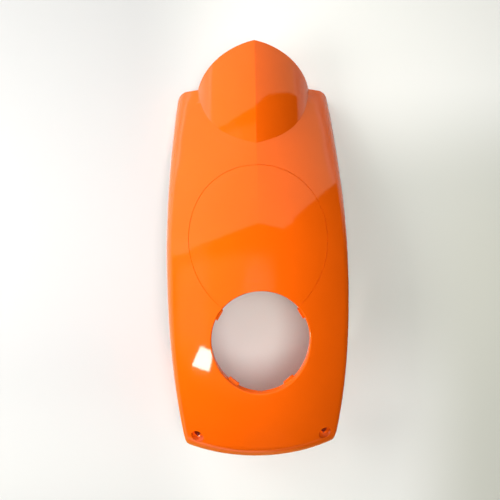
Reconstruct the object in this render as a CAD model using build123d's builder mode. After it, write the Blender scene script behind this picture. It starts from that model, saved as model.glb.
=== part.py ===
from build123d import *
import math
import os

# A one-piece moulded leg shield that lies face up on its rear edge. X is across, +Y runs up to the neck and
# +Z points out of the front face. All sizes are in mm.

# Moulding
wall = 2.8
overrun = 6.0
rear_skirt = 40.0

# Keel line of the shield, two arcs that meet level at the crown
crown_y = -101.0
crown_z = 122.0
upper_keel_r = 638.0
lower_keel_r = 340.0
bottom_y = -231.0
shoulder_y = 186.0
lip_run = 14.0
lip_r = 20.0

# Cross-section of the shield
widest_half = 107.5
widest_y = -25.0
plan_r = 1320.0
side_draft = 4.0
crown_r_bottom = 178.0
crown_r_top = 160.0
corner_r_bottom = 10.0
corner_r_top = 27.0
keel_fold = 6.0
keel_fade_y = 5.0
keel_full_y = 125.0
shoulder_corner_r = 12.0
bottom_lean = 27.0
lean_start_y = -60.0

# Raised neck
neck_apex_y = 150.0
neck_apex_z = 86.0
neck_keel_r = 286.0
neck_start_y = 84.0
neck_tip_y = 231.0
neck_half = 68.0
neck_fold = 11.0
neck_drop = 66.0
neck_crown_pull = 0.50
neck_side_pull = 0.50
neck_seat_z = 34.0
neck_foot_z = 3.0

# Rear edge of the side walls
arch_from_y = -150.0
arch_to_y = 138.0
arch_rise = 38.0

# Headlamp opening
lamp_y = -101.0
lamp_r = 52.8
lamp_lean = 16.0
flange_depth = 8.0
lug_angles = (31.0, 149.0, 235.0, 305.0)
lug_reach = 2.8
lug_width = 12.0
lug_thickness = 3.0
lug_root = 1.4
lamp_edge_r = 1.6

# Scribed circle
circle_y = 6.0
circle_r = 76.0
circle_line = 0.7
circle_depth = 0.4

# Screw seats at the lower corners
screw_x = 71.0
screw_y = -208.0
screw_hole_r = 3.5
seat_r = 7.0
seat_depth = 8.0
seat_floor = 2.5
seat_wall = 2.2
seat_slot = 1.6
tower_depth = 12.0


def keel_height(y):
    radius = upper_keel_r if y > crown_y else lower_keel_r
    height = crown_z - radius + math.sqrt(radius**2 - (y - crown_y) ** 2)
    into_lip = max(0.0, bottom_y + lip_run - y)
    return height - lip_r + math.sqrt(lip_r**2 - into_lip**2)


def along(y):
    return (y - bottom_y) / (shoulder_y - bottom_y)


def lean_at(y):
    share = max(0.0, (lean_start_y - y) / (lean_start_y - bottom_y))
    return math.radians(bottom_lean) * share**2


def fold_at(y):
    share = min(1.0, max(0.0, (y - keel_fade_y) / (keel_full_y - keel_fade_y)))
    return math.radians(keel_fold) * share**2 * (3 - 2 * share)


def half_width_at(y):
    return widest_half - plan_r + math.sqrt(plan_r**2 - (y - widest_y) ** 2)


def section_plane(y):
    lean = lean_at(y)
    return Plane(
        origin=(0, y, keel_height(y)),
        x_dir=(1, 0, 0),
        z_dir=(0, -math.cos(lean), -math.sin(lean)),
    )


def shield_half(y, inset, below):
    """Half of one cross-section, from the keel round the corner to the rear edge, held inset from the face."""
    draft = math.radians(side_draft)
    fold = fold_at(y)
    crown = crown_r_bottom + (crown_r_top - crown_r_bottom) * along(y)
    corner = corner_r_bottom + (corner_r_top - corner_r_bottom) * along(y)
    foot = -keel_height(y) / math.cos(lean_at(y))
    ox = -crown * math.sin(fold)
    oh = -crown * math.cos(fold)
    reach = half_width_at(y) + foot * math.tan(draft) - corner / math.cos(draft) - ox
    a = 1 + math.tan(draft) ** 2
    b = reach * math.tan(draft) + oh
    c = reach**2 + oh**2 - (crown - corner) ** 2
    ch = (b + math.sqrt(b**2 - a * c)) / a
    cx = ox + reach - ch * math.tan(draft)
    turn_0 = math.asin(-ox / (crown - inset))
    turn_1 = math.atan2(cx - ox, ch - oh)
    turn_2 = math.pi / 2 - draft

    def on_crown(turn):
        return (ox + (crown - inset) * math.sin(turn), oh + (crown - inset) * math.cos(turn))

    def on_corner(turn):
        return (cx + (corner - inset) * math.sin(turn), ch + (corner - inset) * math.cos(turn))

    base = foot - below
    base_x = half_width_at(y) + below * math.tan(draft) - inset / math.cos(draft)
    ThreePointArc(on_crown(turn_0), on_crown((turn_0 + turn_1) / 2), on_crown(turn_1))
    ThreePointArc(on_corner(turn_1), on_corner((turn_1 + turn_2) / 2), on_corner(turn_2))
    Polyline(on_corner(turn_2), (base_x, base), (0, base), on_crown(turn_0))


def face_height(x, y):
    """Height of the face above the rear plane at a place in plan, on the crowned part of the section."""
    station = y
    for _ in range(30):
        crown = crown_r_bottom + (crown_r_top - crown_r_bottom) * along(station)
        fold = fold_at(station)
        fall = crown * math.cos(fold) - math.sqrt(crown**2 - (x + crown * math.sin(fold)) ** 2)
        station = y - fall * math.sin(lean_at(station))
    return keel_height(station) - fall * math.cos(lean_at(station))


def neck_keel(y):
    return neck_apex_z - neck_keel_r + math.sqrt(neck_keel_r**2 - (y - neck_apex_y) ** 2)


def neck_half_section(y, inset, below):
    """Half of one cross-section of the neck, a bent flank that leaves the keel at the fold and ends upright."""
    fold = math.radians(neck_fold)
    top = neck_keel(y) - inset / math.cos(fold)
    side = neck_half - inset
    low = neck_keel(y) - neck_drop
    pull = neck_crown_pull * side
    Bezier(
        (0, top),
        (pull * math.cos(fold), top - pull * math.sin(fold)),
        (side, low + neck_side_pull * (top - low)),
        (side, low),
    )
    Polyline((side, low), (side, neck_foot_z - below), (0, neck_foot_z - below), (0, top))


face_steps = 12
lip_steps = 4
neck_steps = 4
lip_y = bottom_y + lip_run
face_stations = [lip_y + (shoulder_y - lip_y) * i / face_steps for i in range(face_steps + 1)]
lip_stations = [bottom_y + lip_run * i / lip_steps for i in range(lip_steps + 1)]
neck_end_y = neck_tip_y + overrun
neck_stations = [neck_start_y + (neck_end_y - neck_start_y) * i / neck_steps for i in range(neck_steps + 1)]

# The solid shape of the shield's face and its turned-down bottom lip. The sections run on below the rear plane
# as a skirt, so a wider or rounder face still closes, and are trimmed there.
with BuildPart() as face_solid:
    for stations in (face_stations, lip_stations):
        for y in stations:
            with BuildSketch(section_plane(y)):
                with BuildLine():
                    shield_half(y, 0, rear_skirt)
                make_face()
        loft()
    mirror(about=Plane.YZ)
    split(bisect_by=Plane.XY, keep=Keep.TOP)

# Cutters that round off the two shoulder corners in plan, leaning in with the draft of the side walls
draft = math.radians(side_draft)
slant = math.asin((shoulder_y - widest_y) / plan_r)
corner_plane = Plane(
    origin=(half_width_at(shoulder_y), shoulder_y, 0),
    x_dir=(math.cos(draft), 0, math.sin(draft)),
    z_dir=(-math.sin(draft), 0, math.cos(draft)),
)
corner_run = 1.5 * shoulder_corner_r
side_end = (corner_run * math.sin(slant), -corner_run * math.cos(slant))
far_corners = (-corner_run, overrun), (corner_run, overrun), (corner_run, side_end[1])
with BuildPart() as corner_cutter:
    with BuildSketch(corner_plane):
        with BuildLine():
            FilletPolyline(side_end, (0, 0), (-corner_run, 0), radius=shoulder_corner_r)
            Polyline((-corner_run, 0), *far_corners, side_end)
        make_face()
    extrude(amount=crown_z, both=True)
    mirror(about=Plane.YZ)

# The hollow behind it, one wall inside and run out past both ends and the rear edge
hollow_stations = face_stations[:-1] + [shoulder_y + overrun]
hollow_lip_stations = [bottom_y - 1.0] + lip_stations[1:]
with BuildPart() as face_hollow:
    for stations in (hollow_stations, hollow_lip_stations):
        for y in stations:
            with BuildSketch(section_plane(y)):
                with BuildLine():
                    shield_half(y, wall, rear_skirt)
                make_face()
        loft()
    mirror(about=Plane.YZ)

# The neck as a solid, trimmed by a slanting plane from its tip down to the shoulder
tip_z = neck_keel(neck_tip_y)
trim_run = neck_tip_y - shoulder_y
trim_rise = tip_z - neck_seat_z
trim_plane = Plane(origin=(0, neck_tip_y, tip_z), x_dir=(1, 0, 0), z_dir=(0, trim_rise, -trim_run))
with BuildPart() as neck_solid:
    for y in neck_stations:
        with BuildSketch(Plane(origin=(0, y, 0), x_dir=(1, 0, 0), z_dir=(0, -1, 0))):
            with BuildLine():
                neck_half_section(y, 0, 0)
            make_face()
    loft()
    mirror(about=Plane.YZ)
    split(bisect_by=trim_plane, keep=Keep.BOTTOM)

with BuildPart() as neck_hollow:
    for y in neck_stations:
        with BuildSketch(Plane(origin=(0, y, 0), x_dir=(1, 0, 0), z_dir=(0, -1, 0))):
            with BuildLine():
                neck_half_section(y, wall, overrun)
            make_face()
    loft()
    mirror(about=Plane.YZ)

# Skins a set depth below the face, used to stop the scribed circle, the lamp flange and its lugs
near_circle = [y for y in face_stations if abs(y - circle_y) < 2.0 * circle_r]
near_lamp = [y for y in face_stations if abs(y - lamp_y) < 1.8 * lamp_r]
with BuildPart() as circle_floor:
    for y in near_circle:
        with BuildSketch(section_plane(y)):
            with BuildLine():
                shield_half(y, circle_depth, rear_skirt)
            make_face()
    loft()
    mirror(about=Plane.YZ)

with BuildPart() as lug_front:
    for y in near_lamp:
        with BuildSketch(section_plane(y)):
            with BuildLine():
                shield_half(y, flange_depth - lug_thickness, rear_skirt)
            make_face()
    loft()
    mirror(about=Plane.YZ)

with BuildPart() as flange_end:
    for y in near_lamp:
        with BuildSketch(section_plane(y)):
            with BuildLine():
                shield_half(y, flange_depth, rear_skirt)
            make_face()
    loft()
    mirror(about=Plane.YZ)

# Directions of the lamp, the scribed circle and the screws, which all point ahead once the shield is fitted
lean = math.radians(lamp_lean)
ahead = (0, -math.sin(lean), math.cos(lean))
lamp_plane = Plane(origin=(0, lamp_y, keel_height(lamp_y)), x_dir=(1, 0, 0), z_dir=ahead)
circle_plane = Plane(origin=(0, circle_y, keel_height(circle_y)), x_dir=(1, 0, 0), z_dir=ahead)
lamp_reach = 0.8 * lamp_r
circle_reach = 0.9 * circle_r

with BuildPart() as lamp_flange:
    with BuildSketch(lamp_plane):
        Circle(lamp_r + wall)
        Circle(lamp_r, mode=Mode.SUBTRACT)
    extrude(amount=lamp_reach, both=True)
    add(face_solid.part, mode=Mode.INTERSECT)
    add(flange_end.part, mode=Mode.SUBTRACT)

with BuildPart() as lamp_lugs:
    with BuildSketch(lamp_plane):
        for angle in lug_angles:
            with PolarLocations(lamp_r + (lug_root - lug_reach) / 2, 1, start_angle=angle):
                Rectangle(lug_reach + lug_root, lug_width)
    extrude(amount=lamp_reach, both=True)
    add(lug_front.part, mode=Mode.INTERSECT)
    add(flange_end.part, mode=Mode.SUBTRACT)

with BuildPart() as circle_cutter:
    with BuildSketch(circle_plane):
        Circle(circle_r + circle_line / 2)
        Circle(circle_r - circle_line / 2, mode=Mode.SUBTRACT)
    extrude(amount=circle_reach, both=True)
    add(circle_floor.part, mode=Mode.SUBTRACT)

# Bosses behind the screw seats, each with a tower that guides its screw
seat_z = face_height(screw_x, screw_y)
seat_plane = Plane(
    origin=(0, screw_y + seat_depth * math.sin(lean), seat_z - seat_depth * math.cos(lean)),
    x_dir=(1, 0, 0),
    z_dir=ahead,
)
seat_places = ((screw_x, 0), (-screw_x, 0))
slot_reach = screw_hole_r + 0.7 * seat_wall
with BuildPart() as screw_bosses:
    with BuildSketch(seat_plane.offset(-seat_floor)):
        with Locations(*seat_places):
            Circle(seat_r + seat_wall)
    extrude(amount=seat_floor + seat_depth + 2 * seat_r)
    with BuildSketch(seat_plane.offset(-seat_floor - tower_depth)):
        with Locations(*seat_places):
            Circle(screw_hole_r + seat_wall)
    extrude(amount=tower_depth + seat_floor / 2)
    add(face_solid.part, mode=Mode.INTERSECT)


def is_front_rim(edge):
    """True for an edge that runs round the lamp opening on the face itself."""
    for place in (0.2, 0.5, 0.8):
        point = edge.position_at(place)
        local = lamp_plane.to_local_coords(point)
        if abs(math.hypot(local.X, local.Y) - lamp_r) > 0.05:
            return False
        if abs(point.Z - face_height(abs(point.X), point.Y)) > flange_depth / 2:
            return False
    return True


# The moulding
with BuildPart() as leg_shield:
    add(face_solid.part)
    add(neck_solid.part)
    add(face_hollow.part, mode=Mode.SUBTRACT)
    add(neck_hollow.part, mode=Mode.SUBTRACT)
    add(corner_cutter.part, mode=Mode.SUBTRACT)
    # arched rear edge between the two pairs of feet
    with BuildSketch(Plane.YZ):
        with BuildLine():
            ThreePointArc((arch_from_y, 0), ((arch_from_y + arch_to_y) / 2, arch_rise), (arch_to_y, 0))
            Polyline((arch_to_y, 0), (arch_to_y, -overrun), (arch_from_y, -overrun), (arch_from_y, 0))
        make_face()
    extrude(amount=widest_half + overrun, both=True, mode=Mode.SUBTRACT)
    # headlamp opening
    add(lamp_flange.part)
    with BuildSketch(lamp_plane):
        Circle(lamp_r)
    extrude(amount=lamp_reach, both=True, mode=Mode.SUBTRACT)
    rim_edges = leg_shield.edges().filter_by(is_front_rim)
    fillet(rim_edges, lamp_edge_r)
    add(lamp_lugs.part)
    # scribed circle
    add(circle_cutter.part, mode=Mode.SUBTRACT)
    # screw seats with their keyhole-shaped holes
    add(screw_bosses.part)
    with BuildSketch(seat_plane):
        with Locations(*seat_places):
            Circle(seat_r)
    extrude(amount=seat_depth + 2 * seat_r, mode=Mode.SUBTRACT)
    with BuildSketch(seat_plane):
        with Locations(*seat_places):
            Circle(screw_hole_r)
            with Locations((0, -slot_reach / 2)):
                Rectangle(seat_slot, slot_reach)
    extrude(amount=-seat_floor - tower_depth - overrun, mode=Mode.SUBTRACT)

leg_shield.part.label = "leg_shield"
os.makedirs("parts", exist_ok=True)
export_step(leg_shield.part, "parts/leg_shield.step")
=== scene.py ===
# %% [markdown]
# # Scooter leg shield
# This is the front panel of a scooter's leg shield, which keeps off wind and spray and carries the
# headlamp. It is one glossy orange moulding: a broad crowned face with rolled corners, a raised neck
# with a sharp keel, a round opening for the lamp and two sunk screw seats. It lies face up on a pale
# table and is seen from almost straight above. A high-gloss skin is read by what slides over it, so the
# surface has to be smooth to a fraction of a degree, and its surroundings need a bright end and a dark
# end. The lesson starts from the solid model that the frame holds, because its size, its edges and its
# holes are already right.

# %% Frame
import math
import bmesh
import bpy
import numpy as np
from mathutils import Matrix, Vector


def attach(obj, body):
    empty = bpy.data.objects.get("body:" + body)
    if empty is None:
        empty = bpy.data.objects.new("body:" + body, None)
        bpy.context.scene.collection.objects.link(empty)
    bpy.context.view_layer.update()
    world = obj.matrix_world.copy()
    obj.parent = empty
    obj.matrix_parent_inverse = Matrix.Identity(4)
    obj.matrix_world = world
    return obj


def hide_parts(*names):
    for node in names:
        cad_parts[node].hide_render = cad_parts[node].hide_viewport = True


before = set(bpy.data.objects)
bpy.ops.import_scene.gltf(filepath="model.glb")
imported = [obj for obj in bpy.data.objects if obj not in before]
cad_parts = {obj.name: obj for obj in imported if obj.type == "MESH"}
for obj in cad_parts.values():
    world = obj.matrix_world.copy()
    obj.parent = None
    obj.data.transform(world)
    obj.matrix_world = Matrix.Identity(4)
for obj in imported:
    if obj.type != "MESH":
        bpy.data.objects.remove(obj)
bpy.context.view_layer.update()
scene = bpy.context.scene
scene.view_settings.view_transform = "Standard"
mm = 0.001

# %% [markdown]
# ## Curves along the face
# On the real panel the face is a shallow double curve that could be set out with radii alone. It could
# be sculpted, or subdivided from a coarse cage, but then its gloss would wander. A rule of arcs can be
# worked out at any place. So the sizes of the solid model are written here in mm, with three curves
# along the length: the height of the keel, the forward lean of the cross-sections and the fold along the
# keel.

# %% Keel, lean and fold
crown_y, crown_z, upper_keel_r, lower_keel_r = -101.0, 122.0, 638.0, 340.0
bottom_y, shoulder_y, lip_run, lip_r = -231.0, 186.0, 14.0, 20.0
bottom_lean, lean_start_y, lean_limit = math.radians(27.0), -60.0, 1.2
keel_fold, keel_fade_y, keel_full_y = math.radians(6.0), 5.0, 125.0


def keel_height(y):
    """The height of the keel: two arcs that meet at the crown, and a lip that turns down at the bottom."""
    radius = np.where(y > crown_y, upper_keel_r, lower_keel_r)
    height = crown_z - radius + np.sqrt(radius**2 - (y - crown_y) ** 2)
    into_lip = np.clip(bottom_y + lip_run - y, 0, lip_r)
    return height - lip_r + np.sqrt(lip_r**2 - into_lip**2)


def lean_at(y):
    """The forward lean of a section, which grows from none to the full lean at the bottom."""
    return bottom_lean * np.clip((lean_start_y - y) / (lean_start_y - bottom_y), 0, lean_limit) ** 2


def fold_at(y):
    """How steeply the face leaves its keel, from smooth in the middle to the full fold below the neck."""
    share = np.clip((y - keel_fade_y) / (keel_full_y - keel_fade_y), 0, 1)
    return keel_fold * share**2 * (3 - 2 * share)


for y in (bottom_y, crown_y, shoulder_y):
    print(f"at y {y:.0f} mm the keel is {keel_height(y):.1f} mm high")

# %% [markdown]
# ## Sections of the face
# Each cross-section of the panel is a crown arc, a corner arc that rolls over to the side, and a side
# wall with a few degrees of draft, which let the real part leave its mould. Sections could be lofted
# again here, but the new skin would have to be trimmed to every edge of the solid. So the rule only
# answers a question about any point: how far does it stand out from the face, measured in its own
# section? That section is found by sliding along the keel until the point lies in it.

# %% Stand-off from the face
widest_half, widest_y, plan_r, draft = 107.5, -25.0, 1320.0, math.radians(4.0)
crown_r_ends, corner_r_ends = (178.0, 160.0), (10.0, 27.0)
slide_rounds, past_bottom, past_shoulder = 30, 2.0, 8.0


def face_gap(points):
    """How far each point in mm stands out from the face, in the leaning section that it belongs to."""
    x, y, z = np.abs(points[:, 0]), points[:, 1], points[:, 2]
    station = y.copy()
    for _ in range(slide_rounds):
        lean = lean_at(station)
        up = (z - keel_height(station)) / np.cos(lean)
        station = np.clip(y + up * np.sin(lean), bottom_y - past_bottom, shoulder_y + past_shoulder)
    share = (station - bottom_y) / (shoulder_y - bottom_y)
    crown = crown_r_ends[0] + (crown_r_ends[1] - crown_r_ends[0]) * share
    corner = corner_r_ends[0] + (corner_r_ends[1] - corner_r_ends[0]) * share
    fold = fold_at(station)
    half = widest_half - plan_r + np.sqrt(plan_r**2 - (station - widest_y) ** 2)
    foot = -keel_height(station) / np.cos(lean)
    crown_x, crown_up = -crown * np.sin(fold), -crown * np.cos(fold)
    # The corner's centre is one corner radius inside the side wall, where its arc runs into the crown's
    reach = half + foot * np.tan(draft) - corner / np.cos(draft) - crown_x
    half_middle = reach * np.tan(draft) + crown_up
    last = reach**2 + crown_up**2 - (crown - corner) ** 2
    corner_up = (half_middle + np.sqrt(half_middle**2 - last / np.cos(draft) ** 2)) * np.cos(draft) ** 2
    corner_x = crown_x + reach - corner_up * np.tan(draft)
    crown_ends = np.arctan2(corner_x - crown_x, corner_up - crown_up)
    off_crown = np.hypot(x - crown_x, up - crown_up) - crown
    off_corner = np.hypot(x - corner_x, up - corner_up) - corner
    off_side = (x - half) * np.cos(draft) + (up - foot) * np.sin(draft)
    on_side = np.arctan2(x - corner_x, up - corner_up) > math.pi / 2 - draft
    on_crown = np.arctan2(x - crown_x, up - crown_up) < crown_ends
    off_edge = np.where(on_side & (up < corner_up + corner), off_side, off_corner)
    return np.where(on_crown, off_crown, off_edge)


crown_top = np.array([[0.0, crown_y, crown_z]])
print(f"the crown's top stands {face_gap(crown_top)[0]:.3f} mm off the rule of the face")

# %% [markdown]
# ## The rule of the neck
# The neck that hides the steering stem is a second crowned shape with its own keel. It could share the
# face's arcs, but its flanks bend harder towards their feet. So each half-section is one cubic curve,
# which leaves the keel at a steep fold and ends upright. The stand-off is taken straight down, because a
# flank has a single height over any place in plan, and the spot on the curve is found by halving.

# %% Stand-off from the neck
neck_apex_y, neck_apex_z, neck_keel_r = 150.0, 86.0, 286.0
neck_half, neck_drop, neck_fold, neck_pull = 68.0, 66.0, math.radians(11.0), 0.5
halvings = 40


def neck_gap(points, inset=0.0):
    """How far each point in mm stands above a flank of the neck that is set in by the inset."""
    x, y, z = np.abs(points[:, 0]), points[:, 1], points[:, 2]
    keel = neck_apex_z - neck_keel_r + np.sqrt(neck_keel_r**2 - (y - neck_apex_y) ** 2)
    top, low, side = keel - inset / math.cos(neck_fold), keel - neck_drop, neck_half - inset
    pull = neck_pull * side
    low_t, high_t = np.zeros_like(x), np.ones_like(x)
    for _ in range(halvings):
        t = (low_t + high_t) / 2
        at = 3 * t * (1 - t) ** 2 * pull * math.cos(neck_fold) + 3 * t**2 * (1 - t) * side + t**3 * side
        low_t, high_t = np.where(at < x, t, low_t), np.where(at < x, high_t, t)
    flank = (1 - t) ** 3 * top + 3 * t * (1 - t) ** 2 * (top - pull * math.sin(neck_fold))
    flank += 3 * t**2 * (1 - t) * (low + neck_pull * (top - low)) + t**3 * low
    return z - flank


neck_apex = np.array([[0.0, neck_apex_y, neck_apex_z]])
print(f"the neck's apex stands {neck_gap(neck_apex)[0]:.3f} mm off the rule of the neck")

# %% [markdown]
# ## The shell
# The real panel is one skin of nearly even thickness. The solid already has its shape, down to the lugs
# in the lamp opening and the keyholes in the seats, so the shell is a copy of the solid's mesh. That
# mesh is loose triangles, so they are merged first. A moulded fold is never quite sharp. A bevel would
# soften it, but it would also change the shape, so thin strips are cut along both sides of the keel for
# the shading to turn in.

# %% Shell from the solid
keel_strips, weld = (2.2 * mm, 0.7 * mm), 0.001 * mm
shell = bpy.data.objects.new("leg_shield_shell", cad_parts["leg_shield"].data.copy())
scene.collection.objects.link(shell)
mesh = shell.data
build = bmesh.new()
build.from_mesh(mesh)
bmesh.ops.remove_doubles(build, verts=build.verts, dist=weld)
for strip in keel_strips:
    for side in (1, -1):
        everything = build.verts[:] + build.edges[:] + build.faces[:]
        cut = {"plane_co": (side * strip, 0, 0), "plane_no": (1, 0, 0)}
        bmesh.ops.bisect_plane(build, geom=everything, dist=weld, **cut)
bmesh.ops.triangulate(build, faces=build.faces[:])
build.to_mesh(mesh)
build.free()
print("shell:", len(mesh.vertices), "corners and", len(mesh.polygons), "triangles")

# %% [markdown]
# ## Normals from the rule
# A polished moulding carries one unbroken reflection from edge to edge. Flat triangles would break it
# up, and smooth shading alone would ripple where long thin triangles meet. A much finer mesh would
# ripple less, but never quite stop. So each triangle that lies on a skin, front or back, takes the
# normals of its corners straight from the rule: the direction in which the stand-off grows fastest. All
# other triangles keep Blender's own.

# %% Smooth shading and measured corners
crease = math.radians(32)
mesh.shade_smooth()
mesh.set_sharp_from_angle(angle=crease)
corner_of = np.empty(len(mesh.loops), dtype=np.int32)
mesh.loops.foreach_get("vertex_index", corner_of)
places = np.empty(len(mesh.vertices) * 3)
mesh.vertices.foreach_get("co", places)
places = places.reshape(-1, 3) / mm
normals = np.array([tuple(n.vector) for n in mesh.corner_normals])
facets = np.repeat(np.array([tuple(p.normal) for p in mesh.polygons]), 3, axis=0)
print("sharp edges beyond", round(math.degrees(crease)), "degrees,", len(normals), "corner normals to set")

# %% [markdown]
# ## Four skins
# The panel's front and back are the same two shapes, one wall apart: the face and the neck, each seen
# from outside and from inside. A triangle could be told by the face of the solid that it came from, but
# a mesh has forgotten those. So it counts as part of a skin if its corners are close to it and its facet
# points the same way.

# %% Skins that follow the rule
wall, skin_reach, least_agreement, neck_from_y = 2.8, 0.25, 0.9, 80.0


def steepest(gap, points, step=0.05):
    """The gap at each point divided by its slope, and the unit direction in which it grows fastest."""
    slope = np.empty_like(points)
    for axis in range(3):
        move = np.zeros(3)
        move[axis] = step
        slope[:, axis] = (gap(points + move) - gap(points - move)) / (2 * step)
    length = np.linalg.norm(slope, axis=1)
    return gap(points) / length, slope / length[:, None]


skins = [
    ("face", face_gap, 0.0, 1),
    ("back of the face", face_gap, -wall, -1),
    ("neck", neck_gap, 0.0, 1),
    ("back of the neck", lambda points: neck_gap(points, wall), 0.0, -1),
]
for name, gap, depth, way in skins:
    off, grows = steepest(gap, places)
    near = np.abs(off - depth) < skin_reach
    if gap is not face_gap:
        near &= places[:, 1] > neck_from_y
    agrees = np.einsum("ij,ij->i", facets, grows[corner_of]) * way > least_agreement
    on_skin = (near[corner_of] & agrees).reshape(-1, 3).all(axis=1).repeat(3)
    normals[on_skin] = grows[corner_of][on_skin] * way
    print(name, int(on_skin.sum() / 3), "triangles follow the rule")

# %% [markdown]
# ## The line of the keel
# On the keel itself the two flanks of the real panel meet in a tiny round. The rule has two normals
# there, one for each flank, and a hard crease would show between them. So every corner on the middle
# line that doesn't face sideways loses the sideways part of its normal, and the strips beside the keel
# carry the turn.

# %% Shared normals along the keel
centre_reach, sideways_limit = 1e-4, 0.5
on_keel = (np.abs(places[corner_of, 0]) < centre_reach) & (np.abs(normals[:, 0]) < sideways_limit)
normals[on_keel, 0] = 0
normals /= np.linalg.norm(normals, axis=1)[:, None]
mesh.normals_split_custom_set(normals.tolist())
print(int(on_keel.sum()), "corners on the keel lost the sideways part of their normals")

# %% [markdown]
# ## Shader wiring
# A finish is a tree of nodes, and dozens of lines of links would hide what it says. Node groups could be
# drawn by hand, but in a script shader maths reads best as sums. So a small class wraps a socket:
# Python's operators add the Math nodes, one method adds any other node from its type, settings and
# inputs, and a few more methods name what the finishes here need often.


# %% Wrapped sockets
class Wire:
    """One socket of a node tree that can be added, multiplied and fed onwards."""

    def __init__(self, tree, socket):
        self.tree, self.socket = tree, socket

    def feed(self, into, value):
        """Links a wire into a socket, or sets the socket to a plain value."""
        if isinstance(value, Wire):
            self.tree.links.new(value.socket, into)
        else:
            into.default_value = value

    def node(self, kind, settings=None, inputs=None, output=0):
        """Adds a node, sets it, feeds its inputs and gives back one of its outputs."""
        made = self.tree.nodes.new(kind)
        for key, value in (settings or {}).items():
            setattr(made, key, value)
        for key, value in (inputs or {}).items():
            self.feed(made.inputs[key], value)
        return Wire(self.tree, made.outputs[output])

    def maths(self, operation, *values):
        """A Math node on wires or numbers."""
        return self.node("ShaderNodeMath", {"operation": operation}, dict(enumerate(values)))

    def __add__(self, other):
        return self.maths("ADD", self, other)

    def __radd__(self, other):
        return self.maths("ADD", other, self)

    def __sub__(self, other):
        return self.maths("SUBTRACT", self, other)

    def __rsub__(self, other):
        return self.maths("SUBTRACT", other, self)

    def __mul__(self, other):
        return self.maths("MULTIPLY", self, other)

    def __rmul__(self, other):
        return self.maths("MULTIPLY", other, self)

    def __abs__(self):
        return self.maths("ABSOLUTE", self)

    def axes(self):
        """The x, y and z of a place, each as a wire."""
        apart = self.node("ShaderNodeSeparateXYZ", None, {"Vector": self}).socket.node
        return [Wire(self.tree, output) for output in apart.outputs]

    def noise(self, scale, detail):
        """Noise over a place, with about as many humps in a metre as the scale says."""
        return self.node("ShaderNodeTexNoise", None, {"Vector": self, "Scale": scale, "Detail": detail})

    def between(self, low, high):
        """0 at the low value and before it, 1 at the high one and past it, and smooth between them."""
        settings = {"interpolation_type": "SMOOTHSTEP"}
        return self.node("ShaderNodeMapRange", settings, {"Value": self, "From Min": low, "From Max": high})

    def blend(self, low, high):
        """The low colour where the wire is 0, the high one where it is 1."""
        # A Mix node has a result for each kind of data, and the third one is the colour
        mixed = {"Factor": self, "A": low, "B": high}
        return self.node("ShaderNodeMix", {"data_type": "RGBA"}, mixed, output=2)


print("a wire can", sorted(name for name in vars(Wire) if not name.startswith("__")))

# %% [markdown]
# ## Gloss plastic
# The panel is moulded in orange and comes out of a polished tool. Up close its skin has a faint orange
# peel, the pigment drifts a little along the flow of the melt, and use leaves fine hairlines that show
# only in the gloss. All three could be painted as pictures, but noise in the part's own coordinates
# needs no unwrapping and has no seams. The drift goes into the colour, the hairlines into the roughness
# and the peel into a very weak bump.

# %% Orange gloss
orange_deep, orange_light = (0.88, 0.114, 0.0015, 1), (0.92, 0.120, 0.002, 1)
polish, hairline_matt, drift_matt = 0.055, 0.05, 0.02
hairline_stretch, peel_strength, fine_share, plastic_ior = (60.0, 900.0, 60.0), 0.012, 0.15, 1.5


def new_material(name):
    """A material, its shader node and a wire on the place of the shaded point."""
    material = bpy.data.materials.new(name)
    material.use_nodes = True
    shader = material.node_tree.nodes["Principled BSDF"]
    where = material.node_tree.nodes.new("ShaderNodeTexCoord")
    return material, shader, Wire(material.node_tree, where.outputs["Object"])


gloss, shader, where = new_material("gloss_orange")
drift = where.noise(scale=14.0, detail=3.0)
colour = drift.between(0.3, 0.7).blend(orange_deep, orange_light)
drawn_out = where.node("ShaderNodeMapping", None, {"Vector": where, "Scale": hairline_stretch})
hairlines = drawn_out.noise(scale=1.0, detail=4.0)
shine = polish + hairline_matt * hairlines.between(0.6, 0.75) + drift_matt * drift
peel = where.noise(scale=260.0, detail=1.0) + fine_share * where.noise(scale=900.0, detail=2.0)
bump = {"Strength": peel_strength, "Distance": 1.0 * mm, "Height": peel}
where.feed(shader.inputs["Normal"], where.node("ShaderNodeBump", None, bump))
shader.inputs["IOR"].default_value = plastic_ior
mesh.materials.clear()
mesh.materials.append(gloss)
print("gloss orange from", orange_deep[:3], "to", orange_light[:3])

# %% [markdown]
# ## Painted shade in the screw seats
# The two sunk seats are deep, and their shade is painted into the colour. Painted shade blackens the
# keyholes, each a round bore with a slot below it, and dulls and darkens the corner between a seat's floor
# and its wall. Vertex colours could mark it, but the triangles there are too large. Masks from the
# distance to the screw's axis stay sharp at any size. The two numbers of a mask are the distances at
# which it is none and full, and one set serves both seats because the part is mirrored.

# %% Dark bores, slots and corners
screw_x, screw_y, screw_z, screw_lean = 71.0 * mm, -208.0 * mm, 89.06 * mm, math.radians(16.0)
bore_shade, seat_shade = (0.24, 0.008, 0.0004, 1), (0.42, 0.030, 0.001, 1)
bore_shade_share, corner_shade_share, bore_matt, corner_matt = 0.9, 0.5, 0.45, 0.15
across, along, high = where.axes()
sideways = abs(across) - screw_x
upward = math.cos(screw_lean) * (along - screw_y) + math.sin(screw_lean) * (high - screw_z)
outward = math.cos(screw_lean) * (high - screw_z) - math.sin(screw_lean) * (along - screw_y)
radius_squared = sideways * sideways + upward * upward
radius = radius_squared.maths("SQRT", radius_squared)
in_bore = radius.between(3.7 * mm, 3.55 * mm)
above_slot_foot, below_bore = upward.between(-5.3 * mm, -5.15 * mm), upward.between(3.5 * mm, 0.0)
in_slot = abs(sideways).between(1.0 * mm, 0.85 * mm) * above_slot_foot * below_bore
dark = in_bore.maths("MAXIMUM", in_bore, in_slot)
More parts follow.
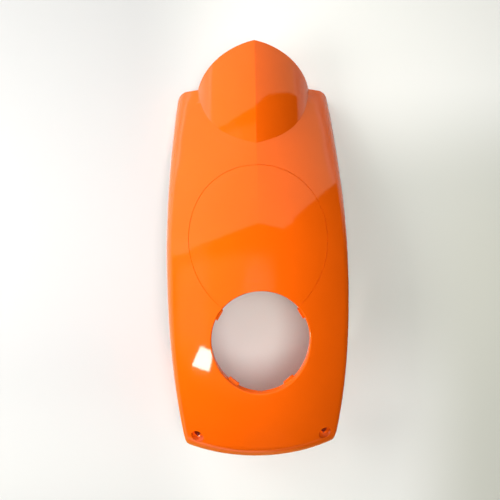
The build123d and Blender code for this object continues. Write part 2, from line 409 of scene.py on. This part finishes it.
near_wall, inside_wall = radius.between(5.6 * mm, 6.9 * mm), radius.between(7.12 * mm, 7.04 * mm)
in_corner = near_wall * inside_wall * outward.between(-9.6 * mm, -9.4 * mm)
# Painted shade darkens the corner of each seat and blackens its bore and the slot below it
colour = (corner_shade_share * in_corner).blend(colour, seat_shade)
where.feed(shader.inputs["Base Color"], (bore_shade_share * dark).blend(colour, bore_shade))
where.feed(shader.inputs["Roughness"], shine + bore_matt * dark + corner_matt * in_corner)
print("gloss orange has", len(gloss.node_tree.nodes), "nodes")

# %% [markdown]
# ## Table
# The part lies on a pale table, which looks nearly white at the left and greyer at the right, where less
# light falls. One even tone under the lights would burn out on the left and look dull at the ends, and
# more lights would spoil the shadow. So the tone itself stands in for how the light falls: darker in the
# middle and at the left, where most light falls, greyer at the right, painted shade, and palest towards
# the two ends, painted light. The masks are set in metres from the part's middle. A plane is enough,
# because nothing of the table but its top is in view.

# %% Table top
table_half, table_matt, table_specular, grain_share, left_ease = 4.0, 0.6, 0.2, 0.05, 0.4
middle_tone, painted_end_light = (0.60, 0.61, 0.56, 1), (0.86, 0.86, 0.82, 1)
painted_right_shade, left_tone = (0.58, 0.585, 0.51, 1), (0.54, 0.54, 0.535, 1)
corners = [(x * table_half, y * table_half, 0) for x, y in ((-1, -1), (1, -1), (1, 1), (-1, 1))]
top = bpy.data.meshes.new("table")
top.from_pydata(corners, [], [(0, 1, 2, 3)])
table = bpy.data.objects.new("table", top)
scene.collection.objects.link(table)
pale, shader, where = new_material("pale_table")
across, along = where.axes()[:2]
ends = abs(along).between(0.06, 0.22)
far_right = across.between(0.16, 0.30) * along.between(0.2, -0.05)
near_left = across.between(0.03, -0.15) * (1 - left_ease * along.between(-0.12, -0.32))
grain = where.noise(scale=3.0, detail=4.0)
# The tones are painted light and shade: paler towards the ends, greyer at the right, darker at the left
tone = (ends + grain_share * grain).blend(middle_tone, painted_end_light)
tone = near_left.blend(far_right.blend(tone, painted_right_shade), left_tone)
shader.inputs["Roughness"].default_value = table_matt
shader.inputs["Specular IOR Level"].default_value = table_specular
top.materials.append(pale)
print("table:", 2 * table_half, "m square")

# %% [markdown]
# ## Table in the gloss
# The edges of a glossy panel mirror the table it lies on, so the table's tone decides how those edges
# look. A second table could be hidden from the camera, but the Light Path node does it in one material:
# it tells which kind of ray is looking. In the gloss the table is pale, amber beyond the lower end and
# dark at the lower right, a painted reflection of the shade beside the part, and its far part glows, or a
# dark line would show where the table ends. For the camera the table glows too, painted light that lifts
# it a little near the part and more far off.

# %% Tones for each kind of ray
black, mirrored_dark = (0, 0, 0, 1), (0.10, 0.06, 0.02, 1)
mirrored_pale, mirrored_amber = (0.85, 0.84, 0.78, 1), (0.80, 0.54, 0.12, 1)
far_glow, near_painted_light, far_painted_light = (0.82, 0.82, 0.74, 1), (0.11, 0.11, 0.105, 1), (0.75, 0.75, 0.73, 1)
in_gloss = where.node("ShaderNodeLightPath", output="Is Glossy Ray")
in_view = where.node("ShaderNodeLightPath", output="Is Camera Ray")
shaded = (across - along).between(0.10, 0.22) * across.between(0.08, 0.16) * along.between(0.16, 0.04)
mirrored = along.between(-0.18, -0.28).blend(mirrored_pale, mirrored_amber)
mirrored = shaded.blend(mirrored, mirrored_dark)
where.feed(shader.inputs["Base Color"], in_gloss.blend(tone, mirrored))
distance_squared = across * across + along * along
afar = distance_squared.between(0.12, 1.0)
glow = in_gloss.blend(black, (afar * (1 - shaded)).blend(black, far_glow))
# For the camera the table glows: painted light, weaker near the part than far off
where.feed(shader.inputs["Emission Color"], in_view.blend(glow, afar.blend(near_painted_light, far_painted_light)))
shader.inputs["Emission Strength"].default_value = 1.0
print("pale table has", len(pale.node_tree.nodes), "nodes")

# %% [markdown]
# ## Soft lights
# Light falls on the panel from the left and from above, so its shadow is soft and lies on the right. One
# broad light overhead would be simpler, but it would light both flanks alike. Four area lights share the
# work: a beam from above that shines through the lamp opening, a strong one from the far left, a low one
# close to the left side and a faint one beyond the lower end. None of them shows in the gloss, so they
# only light.

# %% Lights that only light
part_middle, beam_spread = Vector((0, 0, 60.0)) * mm, math.radians(75)


def soft_light(name, place, size, power):
    """A square area light aimed at the part, with its place and size in metres and its power in watts."""
    lamp = bpy.data.lights.new(name, "AREA")
    lamp.size = size
    lamp.energy = power
    made = bpy.data.objects.new(name, lamp)
    made.location = place
    made.rotation_euler = (part_middle - made.location).to_track_quat("-Z", "Y").to_euler()
    made.visible_glossy = False
    scene.collection.objects.link(made)
    print("light", name, power, "W")
    return made


overhead = soft_light("overhead", (0.06, -0.05, 1.3), 0.55, 2.15)
overhead.data.spread = beam_spread
overhead.rotation_euler = (0, 0, 0)
soft_light("left_beyond", (-0.9, 0.9, 0.6), 0.9, 14.0)
soft_light("left_low", (-0.6, 0, 0.45), 0.4, 3.6)
soft_light("near_side", (0.1, -1.0, 0.45), 0.5, 1.1)

# %% [markdown]
# ## What the gloss mirrors
# The lower half of the panel looks deep orange and the upper half pale, with a crisp edge between them.
# That edge is a reflection. It could be painted into the colour, but then it would stay put when the
# view moves. So panels stand where the reflections come from: a level dark flag above the lower end with
# a paler patch in it, an upright dark flag at the right and one small bright window. Only glossy rays
# see them, so they light nothing.

# %% Panels that only show in the gloss
flag_z, flag_strength, flag_tone, patch_tone = 0.9, 1.0, (0.01, 0.01, 0.01, 1), (0.5, 0.45, 0.22, 1)
window_z, window_strength, side_strength, panel_tone = 0.6, 25, 0.01, (1, 0.98, 0.95, 1)


def mirrored_panel(name, corners, strength):
    """A flat glowing panel that only reflections see."""
    sheet = bpy.data.meshes.new(name)
    sheet.from_pydata(corners, [], [tuple(range(len(corners)))])
    made = bpy.data.objects.new(name, sheet)
    made.visible_camera = made.visible_diffuse = made.visible_shadow = False
    scene.collection.objects.link(made)
    glow, shader, where = new_material(name)
    shader.inputs["Base Color"].default_value = black
    shader.inputs["Specular IOR Level"].default_value = 0
    shader.inputs["Emission Color"].default_value = panel_tone
    shader.inputs["Emission Strength"].default_value = strength
    sheet.materials.append(glow)
    print("panel", name, "with", len(corners), "corners")
    return shader, where


flag_edge = [(-3.5, 0.50), (-1.5, 0.325), (-0.7, 0.335), (-0.15, 0.37)]
flag_edge += [(0.40, 0.385), (0.60, 0.48), (0.90, 0.60), (8.0, 0.60)]
flag_back = [(30.0, -30.0), (-6.0, -30.0)]
flag_corners = [(x, y, flag_z) for x, y in flag_edge + flag_back]
shader, where = mirrored_panel("dark_outline", flag_corners, flag_strength)
across, along = where.axes()[:2]
patch_width = across.between(0.3, 0.0) * across.between(-2.4, -1.6)
patch_length = along.between(0.24, 0.16) * along.between(-0.9, -0.3)
where.feed(shader.inputs["Emission Color"], (patch_width * patch_length).blend(flag_tone, patch_tone))
window_corners = [(-0.588, -0.25), (-0.408, -0.255), (-0.471, -0.388), (-0.798, -0.428)]
mirrored_panel("window", [(x, y, window_z) for x, y in window_corners], window_strength)
side_corners = [(0.55, 0.315, 0.01), (0.55, 0.46, 0.82), (1.3, -1.2, 0.82), (1.3, -1.2, 0.01)]
mirrored_panel("dark_side", side_corners, side_strength)

# %% [markdown]
# ## Surroundings
# Everything round the part is pale, which gives the upper half of the gloss its bright tone. A panorama
# picture could stand in for it, but one plain colour is enough, since the panels already give the gloss
# its shapes. Light Path tells the rays apart once more: glossy rays see a bright warm tone, the camera
# sees a pale grey, and all other rays get a faint fill, so that the lights alone make the shadows.

# %% Bright surroundings
warm_tone, grey_tone, fill = (1, 1, 0.66, 1), (0.9, 0.9, 0.88, 1), 0.05
world = bpy.data.worlds.new("room")
world.use_nodes = True
scene.world = world
backdrop = world.node_tree.nodes["Background"]
rays = world.node_tree.nodes.new("ShaderNodeLightPath")
in_view = Wire(world.node_tree, rays.outputs["Is Camera Ray"])
in_gloss = Wire(world.node_tree, rays.outputs["Is Glossy Ray"])
in_view.feed(backdrop.inputs["Color"], in_view.blend(warm_tone, grey_tone))
in_view.feed(backdrop.inputs["Strength"], fill + (1 - fill) * (in_view + in_gloss))
print("surroundings:", warm_tone[:3], "in the gloss and", grey_tone[:3], "in view")

# %% [markdown]
# ## Camera
# The view is from about 0.7 m, almost straight down, with a slight tilt and roll. A camera could be
# pointed by a Track To constraint, but that would lose the roll. So the camera's turn is set from three
# small angles, and it backs off from its aim along its own axis. The values were found by fitting the
# panel's outline, its lamp opening and its screw seats.

# %% Camera
lens_length, sensor_width, distance = 43.46, 36.0, 693.594 * mm
aim = Vector((-8.101, -3.029, 60.0)) * mm
tilt, roll, spin = [math.radians(angle) for angle in (-2.124, -2.048, -0.959)]
camera = bpy.data.objects.new("camera", bpy.data.cameras.new("camera"))
camera.data.lens = lens_length
camera.data.sensor_width = sensor_width
facing = Matrix.Rotation(roll, 3, "Y") @ Matrix.Rotation(tilt, 3, "X") @ Matrix.Rotation(spin, 3, "Z")
camera.matrix_world = Matrix.Translation(aim + facing @ Vector((0, 0, distance))) @ facing.to_4x4()
scene.collection.objects.link(camera)
scene.camera = camera
print("camera at", [round(v, 3) for v in camera.matrix_world.translation], "m")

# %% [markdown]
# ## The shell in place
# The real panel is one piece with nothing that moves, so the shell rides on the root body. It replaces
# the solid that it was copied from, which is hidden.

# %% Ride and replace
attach(shell, "root")
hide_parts("leg_shield")
